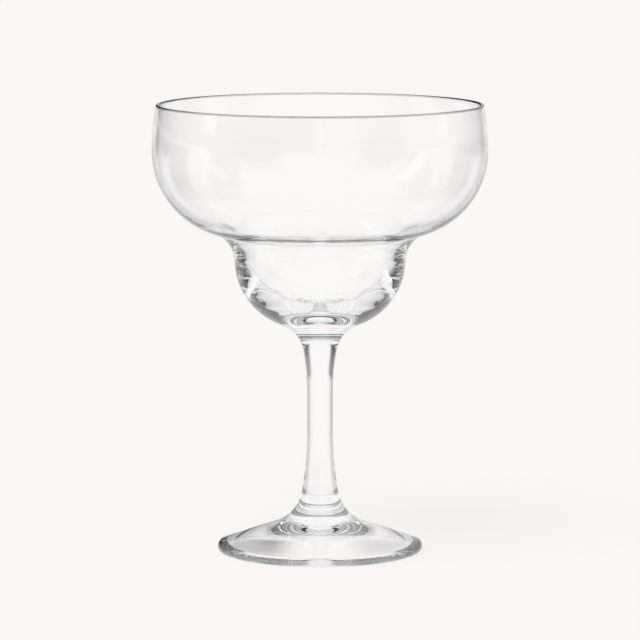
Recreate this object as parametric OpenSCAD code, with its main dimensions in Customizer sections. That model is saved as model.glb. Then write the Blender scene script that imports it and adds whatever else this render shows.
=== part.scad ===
// Margarita glass of clear glass: a wide bowl that steps down into a small round well,
// a drawn stem and a broad foot. Lengths are in millimetres and slopes in degrees.
// The glass stands on the plane z = 0, and its axis is the z axis.

/* [Bowl] */
// Outside diameter at the widest place
belly_d = 112; // [104:0.5:122]
// Height of the rim above the widest place
belly_drop = 15.5; // [10:0.1:22]
// How far the rim is drawn in from the widest place, on each side
rim_inset = 1.3; // [0.5:0.1:3.5]
// Radius of the outside curve from the widest place down to the neck
belly_round = 28.7; // [26:0.1:32]
// Thickness of the rounded lip
lip_t = 1.4; // [1:0.1:2.2]
// Thickness of the wall at the widest place
wall_t = 1.2; // [0.8:0.1:2]
// Thickness of the glass in the shelf, where the bowl steps in to the well
shelf_t = 2; // [1.6:0.1:3]

/* [Well] */
// Outside diameter of the well at its widest place
well_d = 57.2; // [52:0.2:64]
// Distance from the widest place of the bowl down to the widest place of the well
well_drop = 36.3; // [33:0.1:41]
// Radius of the outside curve that closes the well
well_round = 23.2; // [20:0.1:25.4]
// Radius of the outside sweep from the well up into the bowl
neck_sweep = 10; // [8:0.1:12.5]
// Radius of the inside edge where the shelf turns down into the well
shelf_edge = 14; // [11:0.1:16]
// Radius of the inside curve that closes the well
well_hollow = 22; // [20:0.1:23]
// Thickness of the well's wall at its widest place
well_t = 2.4; // [1.8:0.1:3.4]
// Thickness of the glass under the well
base_t = 6.3; // [5:0.1:7.5]
// Height of the boss under the well, down to the joint with the stem
boss_h = 7.2; // [6:0.1:9.5]

/* [Stem] */
// Length of the stem between its two joints
stem_l = 48; // [42:0.1:76]
// Diameter at the waist
waist_d = 8.6; // [7.6:0.1:9.8]
// Diameter at the joint with the bowl
collar_d = 11.4; // [10.6:0.1:12.6]
// Slope of the side at the joint with the bowl, from upright
collar_slope = 10.8; // [9:0.1:14]
// Diameter at the joint with the foot
heel_d = 12.3; // [11:0.1:13.2]
// Slope of the side at the joint with the foot, from upright
heel_slope = 10.1; // [8.5:0.1:14]

/* [Foot] */
// Diameter of the foot
foot_d = 68.8; // [62:0.2:78]
// Height of the joint with the stem above the table
foot_h = 20; // [18:0.1:25]
// Radius of the sweep from the stem into the foot
foot_sweep = 13.3; // [10.5:0.1:15]
// Thickness of the foot at its rounded edge
edge_t = 3.4; // [2.6:0.1:4.8]
// Width of the flat ring that stands on the table
rest_w = 2.8; // [1.5:0.1:5.6]
// Height of the hollow under the foot, at its middle
hollow_h = 7.2; // [4:0.1:8]

/* [Hidden] */
$fn = 240;
glass_colour = [0.86, 0.9, 0.9, 0.35];
overlap = 0.001;  // how far arcs run into their neighbours, so that they always cross
run_on = 2;       // degrees that such arcs run on past their ends
reach = 2;        // slices reach this many radii, past any arc of under 110 degrees
clearance = 1;    // how far the space cut out of the bowl runs past the rim

// Heights of the two joints above the table
low_joint = foot_h;
high_joint = low_joint + stem_l;

// Heights of the places where the bowl is measured, above its joint with the stem
well_z = boss_h + well_round;
belly_z = well_z + well_drop;
rim_z = belly_z + belly_drop;

// Circle that rounds the lip
lip_r = lip_t / 2;
lip = [belly_d / 2 - rim_inset - lip_r, rim_z - lip_r];

// A length rounded to a thousandth of a millimetre
function rounded(length) = round(length * 1000) / 1000;

// Unit step from one point towards another
function towards(from, to) = (to - from) / norm(to - from);

// A step turned anticlockwise by an angle
function turned(step, angle) = [
    step[0] * cos(angle) - step[1] * sin(angle),
    step[0] * sin(angle) + step[1] * cos(angle)
];

// Centre of an arc that rolls on two circles from outside them, on the side away from the axis
function rolling(upper, upper_r, lower, lower_r, r) =
    let (
        apart = norm(lower - upper),
        along = ((upper_r + r) ^ 2 - (lower_r + r) ^ 2 + apart ^ 2) / (2 * apart),
        aside = sqrt((upper_r + r) ^ 2 - along ^ 2),
        way = towards(upper, lower)
    )
    upper + along * way + aside * turned(way, 90);

// How an outline goes on from one of its steps: 1 for a bulging arc, -1 for a hollow arc and
// 0 for a straight line
function bend(steps, i) =
    let (step = steps[i], next = steps[(i + 1) % len(steps)])
    len(step) == 1 ? 0 : sign(cross(next[0] - step[0], step[1] - step[0]));

// Slice of a disc between the centre of an arc and the arc
module slice(steps, bends, i) {
    count = len(steps);
    centre = steps[i][1];
    from = steps[i][0] - centre;
    to = steps[(i + 1) % count][0] - centre;
    hollow = bends[i] < 0;
    before = hollow || bends[(i + count - 1) % count] < 0 ? run_on : 0;
    after = hollow || bends[(i + 1) % count] < 0 ? run_on : 0;

    translate(centre)
        intersection() {
            circle(norm(from) + (hollow ? overlap : 0));
            polygon([
                [0, 0],
                reach * turned(from, -bends[i] * before),
                reach * turned(to, bends[i] * after)
            ]);
        }
}

// Area inside an anticlockwise outline. Each step is [point], with a straight line to the next
// point, or [point, centre], with an arc about that centre to the next point.
module area(steps) {
    every = [0 : len(steps) - 1];
    bends = [for (i = every) bend(steps, i)];
    difference() {
        polygon([for (step = steps) step[0]]);
        for (i = every) if (bends[i] < 0) slice(steps, bends, i);
    }
    for (i = every) if (bends[i] > 0) slice(steps, bends, i);
}

// Round end of a wall, which runs a little into the wall's two sides
module bead(centre, r) {
    translate(centre) circle(r + overlap);
}

// Outside of the bowl, from the joint up to the lip
module bowl_outside() {
    collar = [collar_d / 2, 0];
    belly = [belly_d / 2 - belly_round, belly_z];
    well = [well_d / 2 - well_round, well_z];
    neck = rolling(belly, belly_round, well, well_round, neck_sweep);

    // The boss leaves the stem along its slope and runs smoothly into the round of the well
    normal = [cos(collar_slope), -sin(collar_slope)];
    from_well = collar - well;
    boss_sweep = (from_well * from_well - well_round ^ 2) / (2 * (well_round - normal * from_well));
    boss = collar + boss_sweep * normal;

    // The upper wall is upright at the widest place and touches the circle of the lip
    rise = lip[1] - belly_z;
    upper_round = rounded(lip_r + (rim_inset ^ 2 + rise ^ 2) / (2 * rim_inset));
    upper = [belly_d / 2 - upper_round, belly_z];

    area([
        [[0, 0]],
        [collar, boss],
        [well + well_round * towards(well, boss), well],
        [well + well_round * towards(well, neck), neck],
        [belly + belly_round * towards(belly, neck), belly],
        [[belly_d / 2, belly_z], upper],
        [lip + lip_r * towards(upper, lip)],
        [lip],
        [[0, lip[1]]]
    ]);
}

// Space inside the bowl, from the bottom of the well up past the lip
module bowl_inside() {
    floor_z = boss_h + base_t;
    well = [well_d / 2 - well_t - well_hollow, floor_z + well_hollow];
    widest = belly_d / 2 - wall_t;
    belly_r = belly_round - (wall_t + shelf_t) / 2;
    belly = [widest - belly_r, belly_z - belly_round + shelf_t + belly_r];
    edge = rolling(belly, belly_r, well, well_hollow, shelf_edge);

    // The upper wall is upright at the widest place and touches the circle of the lip
    drawn_in = widest - lip[0];
    rise = lip[1] - belly[1];
    upper_r = rounded((drawn_in ^ 2 + rise ^ 2 - lip_r ^ 2) / (2 * (drawn_in + lip_r)));
    upper = [widest - upper_r, belly[1]];

    area([
        [[0, floor_z]],
        [[well[0], floor_z], well],
        [well + well_hollow * towards(well, edge), edge],
        [belly + belly_r * towards(belly, edge), belly],
        [[widest, belly[1]], upper],
        [lip - lip_r * towards(upper, lip)],
        [lip],
        [[lip[0], rim_z + clearance]],
        [[0, rim_z + clearance]]
    ]);
}

// Blown bowl: thin at the lip, thicker in the shelf and heaviest round the well
module bowl() {
    color(glass_colour)
        translate([0, 0, high_joint])
            rotate_extrude()
                intersection() {
                    square([belly_d, rim_z + clearance]);
                    union() {
                        difference() {
                            bowl_outside();
                            bowl_inside();
                        }
                        bead(lip, lip_r);
                    }
                }
}

// Solid stem: a straight waist that flares along two long arcs to meet the bowl and the foot
module stem() {
    waist_r = waist_d / 2;
    upper_flare = (collar_d / 2 - waist_r) / (1 - cos(collar_slope));
    lower_flare = (heel_d / 2 - waist_r) / (1 - cos(heel_slope));
    waist_top = stem_l - upper_flare * sin(collar_slope);
    waist_bottom = lower_flare * sin(heel_slope);

    color(glass_colour)
        translate([0, 0, low_joint])
            rotate_extrude()
                area([
                    [[0, 0]],
                    [[heel_d / 2, 0], [waist_r + lower_flare, waist_bottom]],
                    [[waist_r, waist_bottom]],
                    [[waist_r, waist_top], [waist_r + upper_flare, waist_top]],
                    [[collar_d / 2, stem_l]],
                    [[0, stem_l]]
                ]);
}

// Foot: a sweep and a cone that thin out to a rounded edge, with a shallow hollow underneath
module foot() {
    heel = [heel_d / 2, foot_h];
    sweep = heel + foot_sweep * [cos(heel_slope), sin(heel_slope)];
    edge_r = edge_t / 2;
    edge = [foot_d / 2 - edge_r, edge_r];

    // The cone passes under the sweep and over the rounded edge, and touches both
    across = sweep - edge;
    tilt = acos((foot_sweep + edge_r) / norm(across));
    cone_normal = turned(across / norm(across), -tilt);

    // The hollow is a shallow dome that leaves a flat ring to stand on
    hollow_r = edge[0] - rest_w;
    dome = [0, (hollow_h ^ 2 - hollow_r ^ 2) / (2 * hollow_h)];

    color(glass_colour)
        rotate_extrude()
            intersection() {
                square([foot_d, foot_h]);
                union() {
                    area([
                        [[0, hollow_h], dome],
                        [[hollow_r, 0]],
                        [[edge[0], 0]],
                        [edge],
                        [edge + edge_r * cone_normal],
                        [sweep - foot_sweep * cone_normal, sweep],
                        [heel],
                        [[0, foot_h]]
                    ]);
                    bead(edge, edge_r);
                }
            }
}

bowl();
stem();
foot();
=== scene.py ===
import math

import bpy
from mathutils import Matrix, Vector


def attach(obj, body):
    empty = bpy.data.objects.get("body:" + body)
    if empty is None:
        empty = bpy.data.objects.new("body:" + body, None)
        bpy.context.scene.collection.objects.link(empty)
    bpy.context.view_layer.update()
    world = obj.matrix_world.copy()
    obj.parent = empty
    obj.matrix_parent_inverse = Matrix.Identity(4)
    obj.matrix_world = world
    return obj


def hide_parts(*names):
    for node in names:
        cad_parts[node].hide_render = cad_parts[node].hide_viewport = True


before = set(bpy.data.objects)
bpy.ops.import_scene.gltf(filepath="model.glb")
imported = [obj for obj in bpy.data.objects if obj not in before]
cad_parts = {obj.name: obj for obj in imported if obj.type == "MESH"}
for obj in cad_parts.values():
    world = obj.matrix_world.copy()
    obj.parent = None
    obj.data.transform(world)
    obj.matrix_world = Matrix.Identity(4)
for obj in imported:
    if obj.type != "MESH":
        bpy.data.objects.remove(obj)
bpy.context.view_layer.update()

mm = 0.001


class Wire:  # a node's output, so that shader sums can be written as Python ones
    def __init__(self, tree, socket=None):
        self.tree = tree
        self.socket = socket

    def node(self, kind, settings={}, sockets={}, out=0):
        new = self.tree.nodes.new(kind)
        for name, value in settings.items():
            setattr(new, name, value)
        for name, value in sockets.items():
            if isinstance(value, Wire):
                self.tree.links.new(value.socket, new.inputs[name])
            else:
                new.inputs[name].default_value = value
        return Wire(self.tree, new.outputs[out] if new.outputs else None)

    def maths(self, operation, first, second=0.0):
        return self.node("ShaderNodeMath", {"operation": operation}, {0: first, 1: second})

    def __add__(self, other):
        return self.maths("ADD", self, other)

    def __radd__(self, other):
        return self.maths("ADD", other, self)

    def __sub__(self, other):
        return self.maths("SUBTRACT", self, other)

    def __rsub__(self, other):
        return self.maths("SUBTRACT", other, self)

    def __mul__(self, other):
        return self.maths("MULTIPLY", self, other)

    def __rmul__(self, other):
        return self.maths("MULTIPLY", other, self)

    def __truediv__(self, other):
        return self.maths("DIVIDE", self, other)

    def __rtruediv__(self, other):
        return self.maths("DIVIDE", other, self)

    def __abs__(self):
        return self.maths("ABSOLUTE", self)

    def root(self):
        return self.maths("SQRT", self)

    def cosine(self):
        return self.maths("COSINE", self)

    def logarithm(self):
        return self.maths("LOGARITHM", self, math.e)

    def top(self, other):
        return self.maths("MAXIMUM", self, other)

    def rise(self, low, high):  # 0 up to low, 1 from high, smooth in between
        return self.node("ShaderNodeMapRange", {"interpolation_type": "SMOOTHSTEP"},
                         {"Value": self, "From Min": low, "From Max": high})

    def axes(self):  # the three numbers of a vector
        return [self.node("ShaderNodeSeparateXYZ", {}, {"Vector": self}, axis) for axis in "XYZ"]


def freshTree(owner):
    owner.use_nodes = True
    owner.node_tree.nodes.clear()
    return Wire(owner.node_tree)


def spot(point):  # a point beside the axis, from mm
    return Vector((point[0] * mm, 0, point[1] * mm))


def towards(start, end):  # unit step from one point to another
    return (Vector(end) - Vector(start)).normalized()


def turned(step, angle):
    return Vector((step[0] * math.cos(angle) - step[1] * math.sin(angle),
                   step[0] * math.sin(angle) + step[1] * math.cos(angle)))


def rolling(upper, upperR, lower, lowerR, r):  # centre of an arc that rolls outside two circles
    apart = (lower - upper).length
    along = ((upperR + r) ** 2 - (lowerR + r) ** 2 + apart ** 2) / (2 * apart)
    aside = math.sqrt((upperR + r) ** 2 - along ** 2)
    way = towards(upper, lower)
    return upper + along * way + aside * turned(way, math.pi / 2)


outlineFinish = {"grain": 1.0, "fewest": 3, "discRings": 6, "weld": 0.002, "sharp": 40}  # mm and degrees


class Outline:  # a line of edges beside the axis, drawn by extruding and spinning its last point
    def __init__(self, name, start):
        bpy.ops.object.select_all(action="DESELECT")
        bpy.ops.mesh.primitive_plane_add(size=mm, location=spot(start))
        bpy.ops.object.transform_apply(location=True)
        self.piece = bpy.context.object
        self.piece.name = self.piece.data.name = name
        self.last = Vector(start)
        bpy.ops.object.mode_set(mode="EDIT")
        bpy.ops.mesh.merge(type="CENTER")

    def line(self, end, steps):
        end = Vector(end)
        for _ in range(steps):
            bpy.ops.mesh.extrude_region_move(
                TRANSFORM_OT_translate={"value": spot((end - self.last) / steps)})
        self.last = end

    def disc(self, end):  # flat face from the axis, or back to it
        self.line(end, outlineFinish["discRings"])

    def arc(self, end, centre, grain=outlineFinish["grain"]):  # grain: length of its edges in mm
        end = Vector(end)
        centre = Vector(centre)
        begin = self.last - centre
        finish = end - centre
        angle = math.atan2(begin.x * finish.y - begin.y * finish.x, begin.dot(finish))
        steps = max(outlineFinish["fewest"], math.ceil(abs(angle) * begin.length / grain))
        bpy.ops.mesh.spin(steps=steps, angle=angle, center=spot(centre), axis=(0, 1, 0))
        self.last = end

    def turnAround(self, steps):
        bpy.ops.mesh.select_all(action="SELECT")
        bpy.ops.mesh.spin(steps=steps, angle=math.tau, center=(0, 0, 0), axis=(0, 0, 1))
        bpy.ops.mesh.select_all(action="SELECT")
        bpy.ops.mesh.remove_doubles(threshold=outlineFinish["weld"] * mm)
        bpy.ops.mesh.normals_make_consistent(inside=False)
        bpy.ops.object.mode_set(mode="OBJECT")
        bpy.ops.object.shade_smooth_by_angle(angle=math.radians(outlineFinish["sharp"]))
        return self.piece


footSizes = {  # mm
    "footD": 68.8, "footH": 20, "sweep": 13.3, "edgeT": 3.4, "restW": 2.8, "hollowH": 7.2,
    "turns": 192, "hollowGrain": 0.5, "edgeGrain": 0.2, "sweepGrain": 0.3, "restRings": 4, "coneRings": 12,
}


def makeFoot(s, stem):
    heelSlope = math.radians(stem["heelSlope"])
    heel = Vector((stem["heelD"] / 2, s["footH"]))
    sweep = heel + s["sweep"] * Vector((math.cos(heelSlope), math.sin(heelSlope)))
    edgeR = s["edgeT"] / 2
    edge = Vector((s["footD"] / 2 - edgeR, edgeR))

    # the cone passes under the sweep and over the edge, and touches both
    across = sweep - edge
    tilt = math.acos((s["sweep"] + edgeR) / across.length)
    coneNormal = turned(across.normalized(), -tilt)

    # the hollow is a shallow dome inside the ring that the glass stands on
    hollowR = edge.x - s["restW"]
    dome = Vector((0, (s["hollowH"] ** 2 - hollowR ** 2) / (2 * s["hollowH"])))

    outline = Outline("footGlass", (0, s["hollowH"]))
    outline.arc((hollowR, 0), dome, s["hollowGrain"])
    outline.line((edge.x, 0), s["restRings"])
    outline.arc(edge + edgeR * Vector((1, 0)), edge, s["edgeGrain"])
    outline.arc(edge + edgeR * coneNormal, edge, s["edgeGrain"])
    outline.line(sweep - s["sweep"] * coneNormal, s["coneRings"])
    outline.arc(heel, sweep, s["sweepGrain"])
    outline.disc((0, s["footH"]))
    return outline.turnAround(s["turns"]), (s["footH"],)


stemSizes = {  # mm and degrees
    "length": 48, "waistD": 8.6, "collarD": 11.4, "collarSlope": 10.8, "heelD": 12.3, "heelSlope": 10.1,
    "turns": 128, "flareGrain": 0.8, "waistRings": 12,
}


def makeStem(s, foot):
    low = foot["footH"]
    high = low + s["length"]
    waistR = s["waistD"] / 2
    collarSlope = math.radians(s["collarSlope"])
    heelSlope = math.radians(s["heelSlope"])
    upperFlare = (s["collarD"] / 2 - waistR) / (1 - math.cos(collarSlope))
    lowerFlare = (s["heelD"] / 2 - waistR) / (1 - math.cos(heelSlope))
    waistTop = high - upperFlare * math.sin(collarSlope)
    waistBottom = low + lowerFlare * math.sin(heelSlope)

    outline = Outline("stemGlass", (0, low))
    outline.disc((s["heelD"] / 2, low))
    outline.arc((waistR, waistBottom), (waistR + lowerFlare, waistBottom), s["flareGrain"])
    outline.line((waistR, waistTop), s["waistRings"])
    outline.arc((s["collarD"] / 2, high), (waistR + upperFlare, waistTop), s["flareGrain"])
    outline.disc((0, high))
    return outline.turnAround(s["turns"]), (low, high)


bowlSizes = {  # mm
    "bellyD": 112, "bellyDrop": 15.5, "rimInset": 1.3, "bellyRound": 28.7,
    "lipT": 1.4, "wallT": 1.2, "shelfT": 2.0,
    "wellD": 57.2, "wellDrop": 36.3, "wellRound": 23.2, "neckSweep": 10, "shelfEdge": 14,
    "wellT": 2.4, "wellHollow": 22, "baseT": 6.3, "bossH": 7.2,
    "turns": 192, "bossGrain": 0.25, "lipGrain": 0.15, "insideGrain": 0.5,
    # rings left by blowing, and the slope of the faces that have them
    "rippleLength": 2.6, "rippleHeight": 0.08, "rippleSpan": 120, "rippleTop": 116,
    "ripplePlace": (11, 7, 13), "mostOutward": 0.1, "mostDown": -0.3,
    "fade": {"factor": 0.5, "repeat": 8, "expand": -0.5},
}


def makeBowl(s, stem, foot):
    joint = foot["footH"] + stem["length"]
    wellZ = joint + s["bossH"] + s["wellRound"]
    bellyZ = wellZ + s["wellDrop"]
    rimZ = bellyZ + s["bellyDrop"]
    lipR = s["lipT"] / 2
    lip = Vector((s["bellyD"] / 2 - s["rimInset"] - lipR, rimZ - lipR))

    # outside: the centres of its arcs
    collar = Vector((stem["collarD"] / 2, joint))
    belly = Vector((s["bellyD"] / 2 - s["bellyRound"], bellyZ))
    well = Vector((s["wellD"] / 2 - s["wellRound"], wellZ))
    neck = rolling(belly, s["bellyRound"], well, s["wellRound"], s["neckSweep"])
    slope = math.radians(stem["collarSlope"])
    normal = Vector((math.cos(slope), -math.sin(slope)))
    fromWell = collar - well
    outOfWell = fromWell.dot(fromWell) - s["wellRound"] ** 2
    boss = collar + outOfWell / (2 * (s["wellRound"] - normal.dot(fromWell))) * normal
    rise = lip.y - bellyZ
    upperRound = lipR + (s["rimInset"] ** 2 + rise ** 2) / (2 * s["rimInset"])
    upper = Vector((s["bellyD"] / 2 - upperRound, bellyZ))

    # inside: the same for the space that the wall leaves
    wellR = s["wellHollow"]
    floorZ = joint + s["bossH"] + s["baseT"]
    inWell = Vector((s["wellD"] / 2 - s["wellT"] - wellR, floorZ + wellR))
    widest = s["bellyD"] / 2 - s["wallT"]
    bellyR = s["bellyRound"] - (s["wallT"] + s["shelfT"]) / 2
    inBelly = Vector((widest - bellyR, bellyZ - s["bellyRound"] + s["shelfT"] + bellyR))
    edge = rolling(inBelly, bellyR, inWell, wellR, s["shelfEdge"])
    drawnIn = widest - lip.x
    inRise = lip.y - inBelly.y
    upperR = (drawnIn ** 2 + inRise ** 2 - lipR ** 2) / (2 * (drawnIn + lipR))
    inUpper = Vector((widest - upperR, inBelly.y))

    outline = Outline("bowlGlass", (0, joint))
    outline.disc(collar)
    outline.arc(well + s["wellRound"] * towards(well, boss), boss, s["bossGrain"])
    outline.arc(well + s["wellRound"] * towards(well, neck), well)
    outline.arc(belly + s["bellyRound"] * towards(belly, neck), neck)
    outline.arc((s["bellyD"] / 2, bellyZ), belly)
    outline.arc(lip + lipR * towards(upper, lip), upper)
    outline.arc(lip + Vector((0, lipR)), lip, s["lipGrain"])
    outline.arc(lip - lipR * towards(inUpper, lip), lip, s["lipGrain"])
    outline.arc((widest, inBelly.y), inUpper)
    outline.arc(inBelly + bellyR * towards(inBelly, edge), inBelly)
    outline.arc(inWell + wellR * towards(inWell, edge), edge, s["insideGrain"])
    outline.arc((inWell.x, floorZ), inWell, s["insideGrain"])
    outline.disc((0, floorZ))
    bowl = outline.turnAround(s["turns"])
    rippleInside(bowl, s)
    return bowl, (joint,)


def rippleInside(bowl, s):  # faint rings on the inside below the belly
    bpy.ops.object.mode_set(mode="EDIT")
    bpy.ops.mesh.select_all(action="DESELECT")
    bpy.ops.object.mode_set(mode="OBJECT")
    for face in bowl.data.polygons:
        outward = face.normal.x * face.center.x + face.normal.y * face.center.y
        inside = outward < s["mostOutward"] * mm and face.normal.z > s["mostDown"]
        face.select = inside and face.center.z < s["rippleTop"] * mm
    bpy.ops.object.mode_set(mode="EDIT")
    bowl.vertex_groups.new(name="inside")
    bpy.ops.object.vertex_group_assign()
    bpy.ops.object.vertex_group_smooth(**s["fade"])
    bpy.ops.object.mode_set(mode="OBJECT")

    # an empty stretches the clouds into rings, and goes again when they are applied
    bpy.ops.object.empty_add(location=Vector(s["ripplePlace"]) * mm)
    stretch = bpy.context.object
    stretch.scale = Vector((s["rippleSpan"], s["rippleSpan"], s["rippleLength"])) * mm
    bpy.ops.object.select_all(action="DESELECT")
    bowl.select_set(True)
    bpy.context.view_layer.objects.active = bowl
    bpy.context.view_layer.update()
    texture = bpy.data.textures.new("blowRings", "CLOUDS")
    texture.noise_scale = 1.0  # the empty sets the size
    texture.noise_depth = 1
    ripple = bowl.modifiers.new("blowRings", "DISPLACE")
    ripple.texture = texture
    ripple.texture_coords = "OBJECT"
    ripple.texture_coords_object = stretch
    ripple.vertex_group = "inside"
    ripple.strength = s["rippleHeight"] * mm
    bpy.ops.object.modifier_apply(modifier=ripple.name)
    bpy.data.objects.remove(stretch)


glassFinish = {  # mm: heights, or distances from the axis
    "ior": 1.5, "clear": (1.0, 1.0, 1.0, 1.0),
    "edge": (0.27, 0.30, 0.31, 1.0),  # painted shade: dark grey painted on the lip, less on its inside, and on the foot's edge
    # where the painted shade lies on the lip and the foot's edge, and how much of it
    "lip": (149.3, 149.9), "lipMiddle": (53.8, 54.2), "lipShadeShare": (0.68, 1.0),
    "footEdge": (32.6, 33.8), "footEdgeTop": (2.6, 3.6), "footShadeShare": 0.085,
    "side": (0.55, 0.56, 0.56, 1.0), "facingBlend": 0.5,  # painted shade: grey colour painted on what is seen at a glancing angle
    # how glancing the view must be for the painted side shade, on the bowl and on the stem
    "bowlSideShade": (0.75, 0.92), "stemSideShade": (0.18, 0.42),
    "waveSize": 14, "waveHeight": 0.02,
    "smudgeSize": 9, "smudgeEdge": (0.5, 0.8), "smudge": 0.04,
}


def mixed(pair, share):  # goes from the first value to the second
    return pair[0] + share * (pair[1] - pair[0])


def mixColours(first, second, share):
    return share.node("ShaderNodeMix", {"data_type": "RGBA"},
                      {"Factor": share, "A": first, "B": second}, "Result")


def makeGlass(name, s, sides=None):
    material = bpy.data.materials.new(name)
    tree = freshTree(material)
    place = tree.node("ShaderNodeTexCoord", {}, {}, "Object")
    x, y, z = [length / mm for length in place.axes()]
    r = (x * x + y * y).root()
    # painted shade: the lip and the foot's edge are painted dark grey, standing in for the dark lines that
    # light draws there
    footShade = r.rise(*s["footEdge"]) * (1 - z.rise(*s["footEdgeTop"])) * s["footShadeShare"]
    lipShade = z.rise(*s["lip"]) * mixed(s["lipShadeShare"], r.rise(*s["lipMiddle"]))
    colour = mixColours(s["clear"], s["edge"], lipShade.top(footShade))
    if sides:  # painted shade: greyer where the wall, or the side of the stem, is seen at a glancing angle
        facing = tree.node("ShaderNodeLayerWeight", {}, {"Blend": s["facingBlend"]}, "Facing")
        colour = mixColours(colour, s["side"], facing.rise(*sides))
    waves = tree.node("ShaderNodeTexNoise", {}, {"Vector": place, "Scale": 1 / (s["waveSize"] * mm)})
    uneven = tree.node("ShaderNodeBump", {}, {"Height": waves, "Distance": s["waveHeight"] * mm})
    spots = tree.node("ShaderNodeTexNoise", {}, {"Vector": place, "Scale": 1 / (s["smudgeSize"] * mm)})
    glass = tree.node("ShaderNodeBsdfPrincipled", {}, {
        "Base Color": colour, "Roughness": spots.rise(*s["smudgeEdge"]) * s["smudge"], "Normal": uneven,
        "IOR": s["ior"], "Transmission Weight": 1.0})
    tree.node("ShaderNodeOutputMaterial", {}, {"Surface": glass})
    return material


def makeFused():  # light passes the joints as in one piece of glass
    material = bpy.data.materials.new("fusedJoint")
    tree = freshTree(material)
    clear = tree.node("ShaderNodeBsdfTransparent")
    tree.node("ShaderNodeOutputMaterial", {}, {"Surface": clear})
    return material


jointFaces = {"flat": 0.99, "reach": 0.01}  # upright part of the normal, and mm from the joint's plane


def finishPiece(piece, joints, node, glass, fused):
    piece.data.materials.append(glass)
    piece.data.materials.append(fused)
    for face in piece.data.polygons:
        flat = abs(face.normal.z) > jointFaces["flat"]
        atJoint = any(abs(face.center.z - joint * mm) < jointFaces["reach"] * mm for joint in joints)
        face.material_index = 1 if flat and atJoint else 0
    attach(piece, "root")
    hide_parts(node)
    print("made", piece.name, len(piece.data.polygons), "faces")


fused = makeFused()
bowl, bowlJoints = makeBowl(bowlSizes, stemSizes, footSizes)
clearBowl = makeGlass("clearBowl", glassFinish, glassFinish["bowlSideShade"])
finishPiece(bowl, bowlJoints, "bowl", clearBowl, fused)
stem, stemJoints = makeStem(stemSizes, footSizes)
clearStem = makeGlass("clearStem", glassFinish, glassFinish["stemSideShade"])
finishPiece(stem, stemJoints, "stem", clearStem, fused)
foot, footJoints = makeFoot(footSizes, stemSizes)
clearFoot = makeGlass("clearFoot", glassFinish)
finishPiece(foot, footJoints, "foot", clearFoot, fused)


# The camera sees a plain pale floor. Light that comes through the glass sees a studio, with pale
# lanes, grey flags between them and ring lights. Unless a note says otherwise, pairs are values at
# left and right or the two ends of a ramp. Angles are in degrees and distances in metres.
studio = {
    "pale": (0.973, 0.938, 0.913, 1.0), "black": (0.0, 0.0, 0.0, 1.0),
    "cool": (0.93, 0.94, 0.943, 1.0), "coolTurns": (0, 2),  # for light that was reflected inside
    "floorSize": 40, "floorDrop": 0.05,  # drop in mm, to stay clear of the glass
    "shadowShare": 0.14, "fill": 0.53,  # how much of the floor takes shadow, and the world's light on it
    "axis": 0.001,  # keeps divisions by the distance from the axis safe
    "lane": (22, 34), "narrowLane": (6, 14), "laneReach": (0.5, 2.6),
    "grey": (0.65, 0.5), "deep": (0.96, 0.86), "flagBlend": 0.1,  # how dark flags are, low and higher up
    "floorFlag": (51, 58, 76, 84), "flagReach": (0.05, 0.3), "flagWalls": (2, 3),
    "flagRise": (0, 13), "flagTop": (34, 56), "reflectedEase": 0.6,  # ease: so much paler in reflections
    "trapped": (1.5, 3.0), "trappedReach": (0.025, 0.035),  # dark after so many reflections inside
    "dark": (0.97, 0.88), "darkBlend": (0.0, 0.4), "topLight": (16, 32),  # before and behind the glass
    "rings": (14, 24), "ringEdge": (0.55, 0.97),  # how close they lie, on the floor and round the world
    "even": 0.25, "evenTurns": (2.5, 5.0), "evenReach": (0.06, 0.12),  # beside the foot, instead of rings
    "twice": 0.88, "twiceReach": (0.035, 0.085), "twiceRise": (2, 8),  # exactly two reflections
    "mirrored": (0.95, 0.4), "mirrorEdge": (1, 3),  # dark sides that only the outside mirrors
    "shade": (0.62, 0.28), "shadeReach": (0.01, 0.05), "shadeGap": 0.01732, "shadeBlend": 0.6,
    "cloudSize": 0.016, "cloudLow": 0.4, "cloudHeight": 1.2,  # of the shade under the foot
}


def sine(angle):
    return math.sin(math.radians(angle))


def sines(angles):
    return [sine(angle) for angle in angles]


def lanes(s, width, x, y):  # 1 along four pale lanes that cross at the glass, 0 between them
    far = (x * x + y * y).root() + s["axis"]
    along = abs(x).top(abs(y)) / far
    return along.rise(sine(90 - width[1]), sine(90 - width[0])), far


def leftRight(pair, x, far, width):
    return mixed(pair, (x / far).rise(-width, width))


def ringLights(s, x, y, rung):  # 1 on rings and narrow lanes
    narrow = lanes(s, s["narrowLane"], x, y)[0]
    return narrow.top(rung.cosine().rise(*s["ringEdge"]))


def trappedLight(s, y, far, share, lights):  # dark, apart from these lights
    return 1 - share * (1 - lights) * mixed(s["dark"], (y / far).rise(*s["darkBlend"]))


def turnedTwice(turns):  # 1 after two reflections, 0 after any other number
    return turns.rise(1, 2) * (1 - turns.rise(2, 3))


def lightPath(tree, *names):
    return [tree.node("ShaderNodeLightPath", {}, {}, name) for name in names]


def glows(tree, kind, s):  # plain, cool and no light
    return [tree.node(kind, {}, {"Color": s[name], "Strength": 1.0}) for name in ("pale", "cool", "black")]


def mixShaders(first, second, share):
    return first.node("ShaderNodeMixShader", {}, {"Fac": share, 1: first, 2: second})


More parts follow.
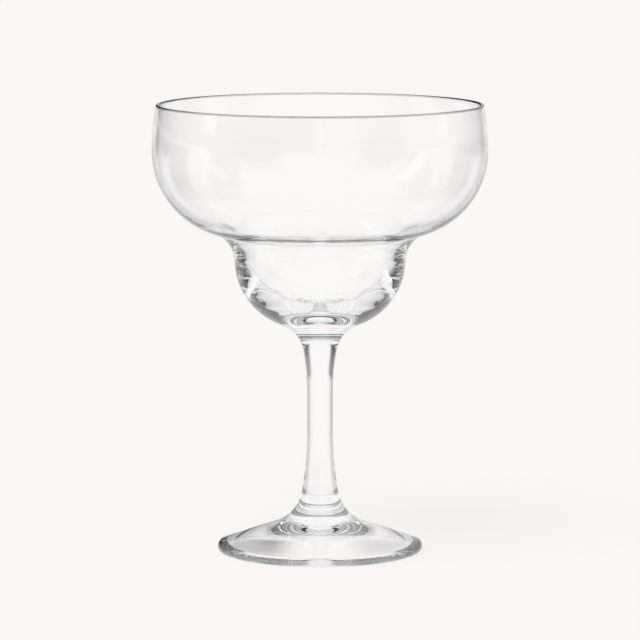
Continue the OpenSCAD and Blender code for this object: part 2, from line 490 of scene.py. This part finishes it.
def makeFloor(s):
    bpy.ops.object.select_all(action="DESELECT")
    bpy.ops.mesh.primitive_plane_add(size=s["floorSize"], location=(0, 0, -s["floorDrop"] * mm))
    floor = bpy.context.object
    floor.name = "floor"
    material = bpy.data.materials.new("paleFloor")
    tree = freshTree(material)
    camera, depth, passed = lightPath(tree, "Is Camera Ray", "Ray Depth", "Transmission Depth")
    turns = depth - passed  # reflections on the way
    place = tree.node("ShaderNodeTexCoord", {}, {}, "Object")
    x, y = place.axes()[:2]
    lane, far = lanes(s, s["lane"], x, y)

    # flags, for light that has passed one wall, and the dark between the lanes far away
    aside = abs(x) / far
    begin, full, fade, end = sines(s["floorFlag"])
    oneWall = 1 - passed.rise(*s["flagWalls"])
    flag = aside.rise(begin, full) * (1 - aside.rise(fade, end)) * far.rise(*s["flagReach"]) * oneWall
    between = (1 - lane) * far.rise(*s["laneReach"])
    direct = 1 - flag.top(between) * leftRight(s["grey"], x, far, s["flagBlend"])

    # light that was reflected inside the glass
    trapped = turns.rise(*s["trapped"]) * far.rise(*s["trappedReach"])
    rings = ringLights(s, x, y, far.logarithm() * s["rings"][0])
    evenly = turns.rise(*s["evenTurns"]) * (1 - far.rise(*s["evenReach"]))
    inside = trappedLight(s, y, far, trapped, mixed((rings, s["even"]), evenly))
    twice = turnedTwice(turns) * far.rise(*s["twiceReach"]) * s["twice"]

    # cloudy shade under the foot, with a pale gap before and behind
    clouds = tree.node("ShaderNodeTexNoise", {}, {"Vector": place, "Scale": 1 / s["cloudSize"]})
    cloudy = s["cloudLow"] + s["cloudHeight"] * clouds
    under = (1 - far.rise(*s["shadeReach"])) * (x * x).rise(0, s["shadeGap"] ** 2) * cloudy
    shade = under * leftRight(s["shade"], x, far, s["shadeBlend"]) * (1 - turns.rise(0, 1))

    level = direct * inside * (1 - shade) * (1 - twice)
    plain, cool, dark = glows(tree, "ShaderNodeEmission", s)
    bright = mixShaders(plain, cool, turns.rise(*s["coolTurns"]))
    through = mixShaders(dark, bright, level)
    lit = tree.node("ShaderNodeBsdfDiffuse", {}, {"Color": s["pale"]})
    seen = mixShaders(plain, lit, s["shadowShare"])
    tree.node("ShaderNodeOutputMaterial", {}, {"Surface": mixShaders(through, seen, camera)})
    floor.data.materials.append(material)
    print("made the floor")


def makeWorld(s):
    world = bpy.data.worlds.new("studio")
    bpy.context.scene.world = world
    tree = freshTree(world)
    camera, diffuse = lightPath(tree, "Is Camera Ray", "Is Diffuse Ray")
    depth, passed = lightPath(tree, "Ray Depth", "Transmission Depth")
    turns = depth - 1 - passed  # a world ray counts one step more
    way = tree.node("ShaderNodeTexCoord", {}, {}, "Generated")
    x, y, z = way.axes()
    lane, far = lanes(s, s["lane"], x, y)

    # flags between the lanes, deeper higher up and gone above
    above = z.rise(*sines(s["flagTop"]))
    grey = leftRight(s["grey"], x, far, s["flagBlend"])
    deep = leftRight(s["deep"], x, far, s["flagBlend"])
    flag = (1 - lane) * (1 - above) * mixed((grey, deep), z.rise(*sines(s["flagRise"])))
    direct = 1 - flag * (1 - turns.rise(0, 1) * s["reflectedEase"])

    # light that was reflected inside the glass, or by its outside
    trapped = turns.rise(*s["trapped"]) * (1 - z.rise(*sines(s["topLight"])))
    inside = trappedLight(s, y, far, trapped, ringLights(s, x, y, z * s["rings"][1]))
    twice = turnedTwice(turns) * (1 - z.rise(*sines(s["twiceRise"]))) * s["twice"]
    aside = (abs(x) / far).rise(*sines(s["mirrorEdge"]))
    byOutside = aside * (1 - passed.rise(0, 1)) * (1 - above)
    mirrored = byOutside * leftRight(s["mirrored"], x, far, s["flagBlend"])

    level = direct * inside * (1 - mirrored) * (1 - twice)
    plain, cool, dark = glows(tree, "ShaderNodeBackground", s)
    bright = mixShaders(plain, cool, turns.rise(*s["coolTurns"]))
    around = mixShaders(dark, bright, level)
    fill = tree.node("ShaderNodeBackground", {}, {"Color": s["pale"], "Strength": s["fill"]})
    lighting = mixShaders(around, fill, diffuse)
    tree.node("ShaderNodeOutputWorld", {}, {"Surface": mixShaders(lighting, plain, camera)})
    print("made the world")


def lookAt(place, aim):
    return (Vector(aim) - Vector(place)).to_track_quat("-Z", "Y").to_euler()


keyLight = {"place": (-0.55, -0.8, 1.6), "aim": (0, 0, 0), "power": 1.5, "spread": 38}  # metres, degrees


def makeKey(s):  # it only draws the shadow, so the glass doesn't mirror it
    bpy.ops.object.light_add(type="SUN", location=s["place"])
    lamp = bpy.context.object
    lamp.name = "keyLight"
    lamp.data.energy = s["power"]
    lamp.data.angle = math.radians(s["spread"])
    lamp.rotation_euler = lookAt(s["place"], s["aim"])
    lamp.visible_glossy = False
    lamp.visible_transmission = False


softboxes = {"size": (0.3, 1.2), "aim": (0, 0, 0.1), "boxes": {  # metres; place and watts of each
    "leftSoftbox": ((-1.5, -0.2, 0.9), 1.2),
    "rightSoftbox": ((1.6, 0.1, 0.8), 0.5),
}}


def makeSoftboxes(s):
    for name, (place, power) in s["boxes"].items():
        bpy.ops.object.light_add(type="AREA", location=place)
        lamp = bpy.context.object
        lamp.name = name
        lamp.data.shape = "RECTANGLE"
        lamp.data.size, lamp.data.size_y = s["size"]
        lamp.data.energy = power
        lamp.rotation_euler = lookAt(place, s["aim"])


view = {"place": (0, -1.4822, 0.2592), "aim": (0, 0, 0.07792), "lens": 251.3, "sensor": 36}  # metres, mm
bounces = {"all": 24, "transmission": 24, "glossy": 16, "transparent": 16}  # glass behind glass needs many


def makeCamera(s):
    bpy.ops.object.camera_add(location=s["place"])
    camera = bpy.context.object
    camera.rotation_euler = lookAt(s["place"], s["aim"])
    camera.data.lens = s["lens"]
    camera.data.sensor_width = s["sensor"]
    bpy.context.scene.camera = camera


def setBounces(s):
    cycles = bpy.context.scene.cycles
    cycles.max_bounces = s["all"]
    cycles.transmission_bounces = s["transmission"]
    cycles.glossy_bounces = s["glossy"]
    cycles.transparent_max_bounces = s["transparent"]


makeFloor(studio)
makeWorld(studio)
makeKey(keyLight)
makeSoftboxes(softboxes)
makeCamera(view)
setBounces(bounces)
bpy.context.scene.view_settings.view_transform = "Standard"
print("lights and camera are in place")
